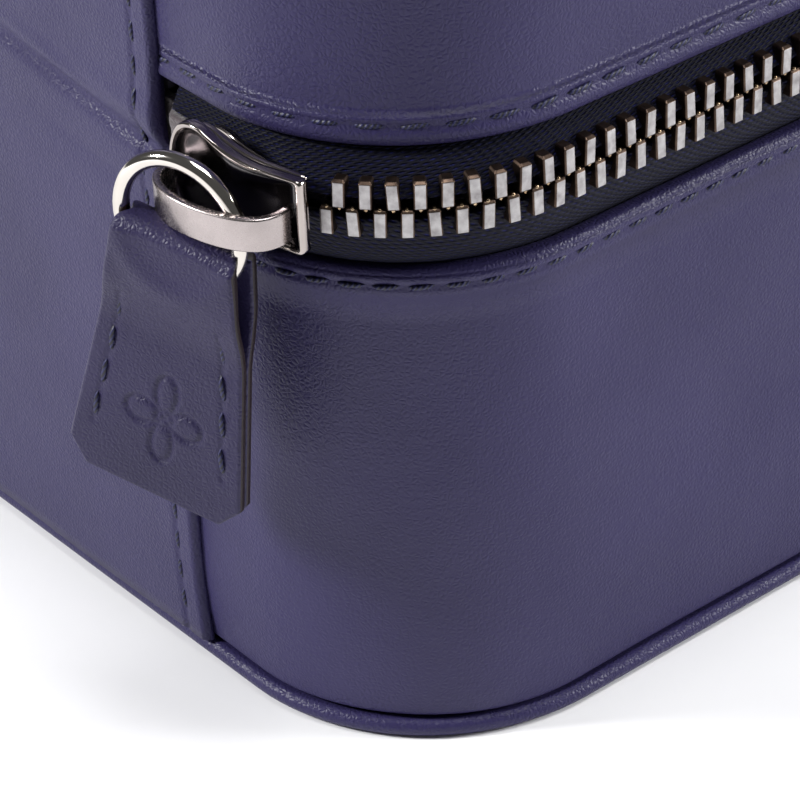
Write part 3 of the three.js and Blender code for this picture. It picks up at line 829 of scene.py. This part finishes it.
def make_slider():
    face = PLATE_FACE
    levels = [(3.5, face - 1.25), (1.0, face - 1.25), (0.12, face - 1.2), (0.0, face - 1.05)]
    levels += [(0.0, face - 0.22), (0.07, face - 0.07), (0.2, face), (0.42, face), (0.55, face - 0.06)]
    levels += [(0.7, face - 0.22), (1.1, face - 0.50), (1.8, face - 0.66), (3.2, face - 0.72)]
    front = plate("slider_face_plate", levels, PLATE_BEND, painted_shade_from=9)
    finish_piece(front, "slider", "nickel", "slider_body")
    low, high = BACK_PLATE_LOW, BACK_PLATE_LOW + 0.65
    levels = [(3.0, low), (0.5, low), (0.12, low + 0.1), (0.0, low + 0.35)]
    levels += [(0.12, high - 0.05), (0.5, high), (3.0, high)]
    rear = plate("slider_back_plate", levels, BACK_PLATE_BEND, scale=0.55)
    finish_piece(rear, "slider", "nickel")
    make_lips()
    make_wedge()
    make_bridge()


def make_lips():
    """The lips along the face plate's two long sides, from the rear to the nose."""
    path = [(7.3, SLIDER_HALF - 0.45), (3.0, SLIDER_HALF - 0.45), (0.2, SLIDER_HALF - 0.3)]
    path += [(-2.4, SLIDER_HALF + 0.35), (-4.6, SHOULDER_HALF - 0.6), (-6.4, SHOULDER_HALF - 0.9)]
    section = [(-0.38, 23.2), (0.38, 23.2), (0.42, 22.5), (0.25, 22.25), (-0.25, 22.25), (-0.42, 22.5)]
    for name, side in (("slider_lip_upper", 1), ("slider_lip_lower", -1)):
        verts = []
        for u, v in path:
            for across, w in section:
                verts.append(at_slider(u, side * (v + across), w - u * u / (2 * PLATE_BEND)))
        lip = build(name, verts, tube_faces(len(path), len(section), flip=side < 0), NICKEL)
        finish_piece(subdivide(lip, 2), "slider", "nickel")


def make_wedge():
    """The small wedge inside the nose, above the lower teeth."""
    wedge = [(-8.4, 0.8), (-6.2, 1.35), (-4.4, 0.9), (-4.4, 0.7), (-6.2, 0.4)]
    verts = []
    for w in (20.9, 23.2):
        for u, v in wedge:
            verts.append(at_slider(u, v, w - u * u / (2 * PLATE_BEND)))
    faces = tube_faces(2, len(wedge), flip=True)
    finish_piece(build("slider_wedge", verts, faces, NICKEL, smooth=False), "slider", "nickel")


BRIDGE_LINE = [
    (5.6, 23.7), (5.5, 25.2), (4.7, 26.7), (2.8, 27.8), (0.2, 28.35), (-2.4, 28.45),
    (-4.8, 28.15), (-6.9, 27.4), (-8.3, 26.2), (-8.8, 24.9), (-8.9, 23.7),
]
BRIDGE_CENTRE = -1.1
BRIDGE_HALF = 1.72


def smooth_line(points, count):
    """Catmull-Rom curve through the points."""
    p = np.array(points, float)
    p = np.vstack([2 * p[0] - p[1], p, 2 * p[-1] - p[-2]])
    result = []
    spans = len(p) - 3
    for i in range(count):
        f = i / (count - 1) * spans
        k = min(int(f), spans - 1)
        t = f - k
        a, b, c, d = p[k], p[k + 1], p[k + 2], p[k + 3]
        result.append(0.5 * (2 * b + (c - a) * t + (2 * a - 5 * b + 4 * c - d) * t * t
                             + (3 * b - a - 3 * c + d) * t ** 3))
    return np.array(result)


def make_bridge():
    """The strap over the slider's face, with softened edges."""
    line = smooth_line(BRIDGE_LINE, 60)
    slope = np.gradient(line, axis=0)
    slope /= np.linalg.norm(slope, axis=1, keepdims=True)
    normal = np.stack([-slope[:, 1], slope[:, 0]], 1)
    r, half, thick = 0.22, BRIDGE_HALF, 0.45
    section = []
    for cx, cy, start in ((half - r, thick - r, 0), (-half + r, thick - r, 90),
                          (-half + r, -thick + r, 180), (half - r, -thick + r, 270)):
        section += arc((cx, cy), r, start, start + 90, 5)
    verts = []
    for (u, w), (nu, nw) in zip(line, normal):
        for across, lift in section:
            verts.append(at_slider(u - nu * lift, BRIDGE_CENTRE + across, w - nw * lift))
    strap = build("slider_strap", verts, tube_faces(len(line), len(section)), NICKEL_SATIN)
    finish_piece(strap, "slider", "nickel", "slider_bridge")


# ---------------------------------------------------------------- ring and tab

RING_CENTRE = joint_place("tab_sway")
RING_OUT = np.array(joint("tab_sway")["axis"], float)
RING_OUT /= np.linalg.norm(RING_OUT)
RING_RADIUS = float(np.linalg.norm(RING_CENTRE - joint_place("ring_swing")))
RING_ACROSS = np.cross(UP, RING_OUT)
WIRE = 0.83


def make_ring():
    """Pull ring of round wire, with the fine line where its ends are joined."""
    steps, sides = 128, 20
    verts = []
    for i in range(steps):
        a = 2 * math.pi * i / steps
        out = RING_ACROSS * math.cos(a) + UP * math.sin(a)
        seam = 0.05 if i == 100 else 0.0
        for k in range(sides):
            b = 2 * math.pi * k / sides
            reach = RING_RADIUS + (WIRE - seam) * math.cos(b)
            verts.append(RING_CENTRE + out * reach + RING_OUT * ((WIRE - seam) * math.sin(b)))
    ring = build("ring_of_wire", verts, grid_faces(steps, sides, True, True, flip=True), NICKEL_RING)
    finish_piece(ring, "ring", "nickel", "pull_ring")


TAB_SWAY = math.radians(-9.2)
TAB_TOP = -0.5
TAB_BOTTOM = -30.4
TAB_TOP_HALF = 6.6
TAB_BOTTOM_HALF = 10.2
TAB_CLIP = 2.3
TAB_SHIFT = 0.5
TAB_LEAN = math.tan(math.radians(4.5))
TAB_THICK = 1.0
TAB_SEAM = 2.1
TAB_SEAM_TOP = -9.4
TAB_SEAM_FOOT = -25.4
FOLD_HALF = 1.62
FLAT_HALF = 0.52
TAB_MOTIF = (0.4, -21.6)


def tab_half(v):
    """Half the tab's width at height v, with its two lower corners clipped."""
    t = (TAB_TOP - v) / (TAB_TOP - TAB_BOTTOM)
    half = TAB_TOP_HALF + (TAB_BOTTOM_HALF - TAB_TOP_HALF) * t
    return half - max(0.0, TAB_BOTTOM + TAB_CLIP - v)


def layer_out(v):
    """How far the middle of each layer stands from the tab's own middle: wide at the ring, flat below."""
    return FLAT_HALF + (FOLD_HALF - FLAT_HALF) * ease(v, -13.5, -6.5)


def tab_profile():
    """Middle of the folded leather in side view: (out, height, layer), layer 1 in front and -1 behind."""
    shoulder = TAB_TOP - 1.3
    line = [(layer_out(v), v, 1) for v in np.linspace(TAB_BOTTOM, shoulder, 150)]
    for a in np.radians(np.linspace(8, 172, 15)):
        line.append((FOLD_HALF * math.cos(a), shoulder + 0.8 * math.sin(a), 0))
    line += [(-layer_out(v), v, -1) for v in np.linspace(shoulder, TAB_BOTTOM, 60)]
    return line


def rosette():
    """Generic four-petal rosette for the pressed ornament on the tab."""
    turn = np.linspace(0, 2 * math.pi, 260)
    reach = 4.3 * np.cos(2 * turn)
    petals = np.stack([reach * np.cos(turn), reach * np.sin(turn) * 1.1], 1)
    ring = np.stack([0.9 * np.cos(turn[::8]), 0.9 * np.sin(turn[::8])], 1)
    return np.vstack([petals, ring]) + np.array(TAB_MOTIF)


def at_tab(across, v, out):
    """A point of the tab by its place across, its height from the ring's centre and how far it stands out."""
    lean = max(0.0, -10.5 - v) * TAB_LEAN
    a = math.cos(TAB_SWAY) * RING_ACROSS + math.sin(TAB_SWAY) * UP
    up = math.cos(TAB_SWAY) * UP - math.sin(TAB_SWAY) * RING_ACROSS
    return RING_CENTRE + a * (across + TAB_SHIFT) + up * v + RING_OUT * (out + lean)


def tab_relief(across, v, layer, marks):
    """Rises and hollows of the front face: the ring under it, the seam and the pressed ornament."""
    if layer != 1:
        return 0.0
    over_ring = math.exp(-((math.hypot(across, v) - RING_RADIUS) / 1.5) ** 2) * 0.30
    side = abs(across) - (tab_half(v) - TAB_SEAM)
    sewn = TAB_SEAM_FOOT - 0.1 < v < TAB_SEAM_TOP + 0.4
    seam = 0.12 * math.exp(-(side / 0.35) ** 2) if sewn else 0.0
    pressed = 0.0
    if abs(across - TAB_MOTIF[0]) < 5.5 and abs(v - TAB_MOTIF[1]) < 5.8:
        near = float(np.min(np.hypot(marks[:, 0] - across, marks[:, 1] - v)))
        pressed = 0.26 * math.exp(-(near / 0.30) ** 2)
    return over_ring - seam - pressed


def make_tab():
    profile = tab_profile()
    marks = rosette()
    flat = np.array([(n, v) for n, v, _ in profile])
    slope = np.gradient(flat, axis=0)
    slope /= np.linalg.norm(slope, axis=1, keepdims=True)
    normal = np.stack([slope[:, 1], -slope[:, 0]], 1)
    columns = 96
    verts = []
    for side in (1, -1):
        for (n, v, layer), (nn, nv) in zip(profile, normal):
            notch = 0.9 * math.exp(-(n / 0.85) ** 2) if v > TAB_TOP - 2 else 0.0
            half = tab_half(min(v, TAB_TOP)) - notch
            for k in range(columns):
                across = half * (2 * k / (columns - 1) - 1)
                edge = max(0.0, 1 - (half - abs(across)) / 0.35) ** 2 * 0.16
                lift = side * (TAB_THICK / 2 - edge)
                if side > 0:
                    lift += tab_relief(across, v, layer, marks)
                verts.append(at_tab(across, v + nv * lift, n + nn * lift))
    rows = len(profile)
    faces = sheet_faces(rows, columns)
    leathered = 2 * (rows - 1) * (columns - 1)
    kinds = [0] * leathered + [1] * (len(faces) - leathered)
    tab = build("folded_leather_tab", verts, faces, NAVY_TAB, extra=(EDGE_PAINT,), indices=kinds)
    finish_piece(tab, "tab", "leather", "pull_tab")
    for name, side in (("tab_stitches_left", -1), ("tab_stitches_right", 1)):
        heights = np.linspace(TAB_SEAM_TOP, TAB_SEAM_FOOT, 40)
        front = FLAT_HALF + TAB_THICK / 2 + 0.02
        path = [at_tab(side * (tab_half(v) - TAB_SEAM), v, front) for v in heights]
        outs = [RING_OUT] * len(path)
        row = stitch_row(name, path, outs, 3.3, radius=0.25, tilt=6.0)
        finish_piece(row, "tab", "leather")


# ---------------------------------------------------------------- inside the case

def soft_block(node_name, body):
    """A suede-covered block with rounded edges and slightly full sides, in the place of its CAD solid."""
    low, high = span(node_name)
    size = high - low
    radius = min(1.2, *(size * 0.45))
    verts = []
    levels = [np.sort(np.concatenate([
        low[k] + radius * (1 - np.cos(np.linspace(0, math.pi / 2, 4))),
        np.linspace(low[k] + radius, high[k] - radius, 10)[1:-1],
        high[k] - radius * (1 - np.cos(np.linspace(0, math.pi / 2, 4))),
    ])) for k in range(3)]
    mesh_points = {}
    faces = []

    def vertex(i, j, k):
        key = (i, j, k)
        if key not in mesh_points:
            point = np.array([levels[0][i], levels[1][j], levels[2][k]])
            inner = np.clip(point, low + radius, high - radius)
            away = point - inner
            length = np.linalg.norm(away)
            if length > 1e-6:
                point = inner + away / length * radius
            mesh_points[key] = len(verts)
            verts.append(point)
        return mesh_points[key]

    last = [len(level) - 1 for level in levels]
    for axis in range(3):
        a, b = (axis + 1) % 3, (axis + 2) % 3
        for end in (0, last[axis]):
            for i in range(last[a]):
                for j in range(last[b]):
                    quad = []
                    for di, dj in ((0, 0), (1, 0), (1, 1), (0, 1)):
                        key = [0, 0, 0]
                        key[axis], key[a], key[b] = end, i + di, j + dj
                        quad.append(vertex(*key))
                    faces.append(quad if end else quad[::-1])
    centre = (low + high) / 2
    for index, point in enumerate(verts):
        share = 1 - np.abs(point - centre) / (size / 2 + 1e-6)
        for axis in range(3):
            others = [k for k in range(3) if k != axis]
            full = 0.06 * min(1.0, 3 * share[others[0]]) * min(1.0, 3 * share[others[1]])
            verts[index] = verts[index] + np.eye(3)[axis] * np.sign(point[axis] - centre[axis]) * full
    piece = build(f"covered_{node_name}", verts, faces, SUEDE)
    return finish_piece(piece, body, "suede", node_name)


def make_roll(index):
    """A foam ring roll: rounded ends and a flat underside."""
    node_name = f"ring_roll_{index}"
    low, high = span(node_name)
    centre = (low + high) / 2
    radius = (high[0] - low[0]) / 2 - 0.12
    half = (high[1] - low[1]) / 2
    rings, sides = 40, 28
    verts = []
    for i in range(rings):
        t = -math.cos(math.pi * i / (rings - 1))
        y = half * (abs(t) ** 0.8) * math.copysign(1, t)
        girth = radius * (1 - abs(t) ** 18) ** 0.5 if abs(t) < 1 else 0.0
        girth = max(girth, 0.6) * (1 + 0.012 * math.sin(i * 1.9 + index))
        for k in range(sides):
            a = 2 * math.pi * k / sides
            z = max(-radius * 0.93, girth * math.sin(a))
            verts.append((centre[0] + girth * math.cos(a), y + centre[1], centre[2] + z))
    roll = build(f"foam_roll_{index}", verts, tube_faces(rings, sides, flip=True), SUEDE)
    finish_piece(roll, "tray", "suede", node_name)


def make_inside():
    for name in ("divider_long", "divider_cross_left", "divider_cross_right"):
        soft_block(name, "base")
    for name in ("tray_ledge_left", "tray_ledge_right"):
        soft_block(name, "base")
    for name in ("rings", "long", "cross_back", "cross_front"):
        soft_block(f"tray_divider_{name}", "tray")
    for index in range(1, 8):
        make_roll(index)


def finish_cad_nodes():
    """Procedural materials for the CAD nodes whose shape is kept."""
    looks = {
        "base_panel": NAVY_DARK, "mirror_frame": NAVY_DARK, "mirror_glass": MIRROR,
        "base_stiffener": BOARD, "base_floor_board": BOARD, "lid_stiffener": BOARD, "lid_board": BOARD,
        "base_lining": SUEDE, "base_floor_pad": SUEDE, "lid_lining": SUEDE, "lid_headliner": SUEDE,
        "hinge_lining_lower": SUEDE, "hinge_lining_upper": SUEDE, "tray_shell": SUEDE,
        "tray_floor_pad": SUEDE, "tray_ribbon_left": TAPE, "tray_ribbon_right": TAPE,
    }
    for name, material in looks.items():
        item = frame["nodes"][name]
        item.data.materials.clear()
        item.data.materials.append(material)


# ---------------------------------------------------------------- camera, floor and light

def make_camera():
    """A long lens looking down on the back left corner."""
    right = Vector((-0.64001, -0.76730, -0.04040))
    ahead = Vector((0.65542, -0.51773, -0.54989))
    up = right.cross(ahead)
    corner = Vector((-SIDE, BACK, 0)) * MM
    data = bpy.data.cameras.new("camera")
    data.sensor_width = 36
    data.lens = 157.2
    data.clip_start = 0.01
    camera = bpy.data.objects.new("camera", data)
    turn = Matrix((right, up, -ahead)).transposed().to_4x4()
    camera.matrix_world = Matrix.Translation(corner + Vector((-210.863, 165.163, 223.421)) * MM) @ turn
    bpy.context.scene.collection.objects.link(camera)
    bpy.context.scene.camera = camera


def area_light(name, place, target, size, power):
    data = bpy.data.lights.new(name, "AREA")
    data.shape = "RECTANGLE"
    data.size, data.size_y = size
    data.energy = power
    light = bpy.data.objects.new(name, data)
    light.location = place
    light.rotation_euler = (Vector(target) - Vector(place)).to_track_quat("-Z", "Y").to_euler()
    bpy.context.scene.collection.objects.link(light)


def make_stage():
    mesh = bpy.data.meshes.new("floor")
    half = 3.0
    corners = [(-half, -half, 0), (half, -half, 0), (half, half, 0), (-half, half, 0)]
    mesh.from_pydata(corners, [], [[0, 1, 2, 3]])
    floor = bpy.data.objects.new("floor", mesh)
    bpy.context.scene.collection.objects.link(floor)
    material, tree, shader = new_material("paper_floor")
    speckle = noise_of(tree, position(tree), 60.0, 3.0)
    stops = [(0.3, (0.93, 0.93, 0.94)), (0.7, (0.95, 0.95, 0.955))]
    tree.links.new(ramp(tree, speckle, stops), shader.inputs["Base Color"])
    shader.inputs["Roughness"].default_value = 0.9
    mesh.materials.append(material)
    world = bpy.data.worlds.new("studio")
    world.use_nodes = True
    world.node_tree.nodes["Background"].inputs["Color"].default_value = (1, 1, 1, 1)
    world.node_tree.nodes["Background"].inputs["Strength"].default_value = 0.09
    bpy.context.scene.world = world
    bpy.context.scene.view_settings.view_transform = "Standard"
    corner = (-0.11, 0.075, 0.045)
    area_light("overhead", (-0.20, 0.00, 0.80), corner, (0.36, 0.36), 4.2)
    area_light("side", (-0.62, -0.62, 0.34), corner, (0.30, 0.24), 7.2)
    area_light("back", (0.38, 0.66, 0.50), corner, (0.16, 0.16), 9.0)


make_camera()
make_stage()
make_walls()
make_lid_top()
make_hinge_panel()
make_zip()
make_slider()
make_ring()
make_tab()
make_inside()
finish_cad_nodes()
